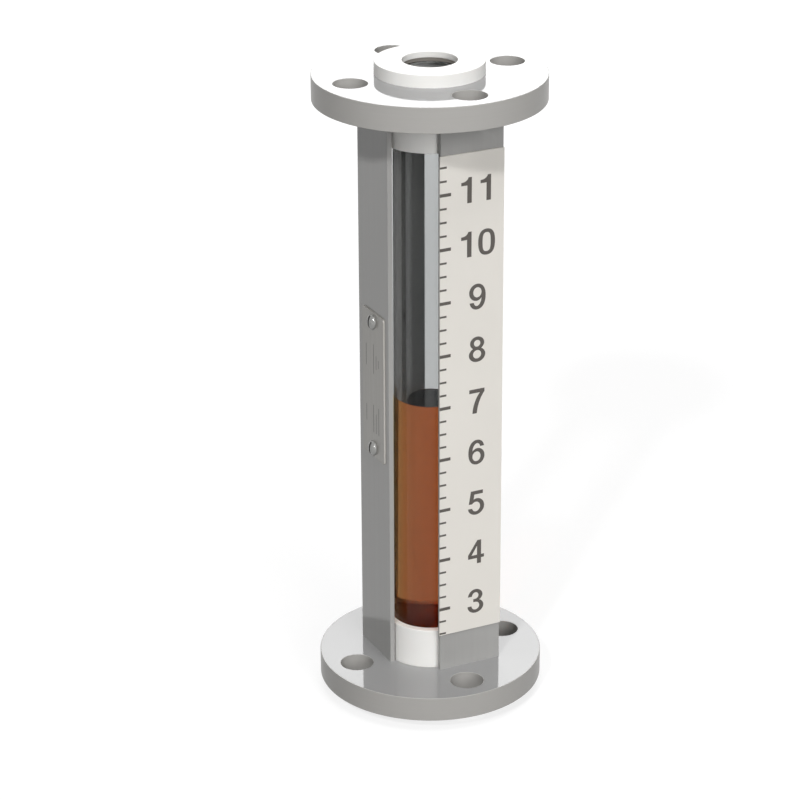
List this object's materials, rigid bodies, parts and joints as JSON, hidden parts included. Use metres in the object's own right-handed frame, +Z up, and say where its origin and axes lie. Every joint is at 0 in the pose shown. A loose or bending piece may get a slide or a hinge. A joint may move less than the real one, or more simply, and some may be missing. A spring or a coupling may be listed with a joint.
{
  "type": "armored tubular level gauge",
  "caption": "Upright liquid level gauge: a thick glass tube between two round pipe flanges, guarded by two steel angles, with a graduated scale plate and a side nameplate.",
  "frame": {"origin": "centre of the lower connection's face, which the gauge stands on, on the tube's axis", "axes": "+Z runs up the tube, -Y is the way the scale faces, -X is the way the nameplate faces"},
  "size_m": [0.108, 0.108, 0.3168],
  "materials": {
    "steel": "fine satin, flange faces near mirror",
    "tube_glass": "clear, polished",
    "white_polymer": "turned white fluoropolymer, slightly waxy",
    "seal_rubber": "matt brown-grey elastomer",
    "amber_liquid": "clear orange-brown liquid",
    "scale_enamel": "satin off-white enamel",
    "scale_print": "matt dark grey paint fill",
    "nameplate_steel": "brushed along its length",
    "screw_steel": "bright, polished"
  },
  "bodies": {
    "root": {"bottom_flange": "steel", "top_flange": "steel", "left_armor_angle": "steel", "right_armor_angle": "steel", "glass_tube": "tube_glass", "bottom_end_bush": "white_polymer", "top_end_bush": "white_polymer", "bottom_seat_gasket": "seal_rubber", "top_seat_gasket": "seal_rubber", "process_liquid": "amber_liquid", "scale_plate": "scale_enamel", "scale_graduations": "scale_print", "nameplate": "nameplate_steel", "nameplate_screws": "screw_steel"}
  },
  "joints": []
}
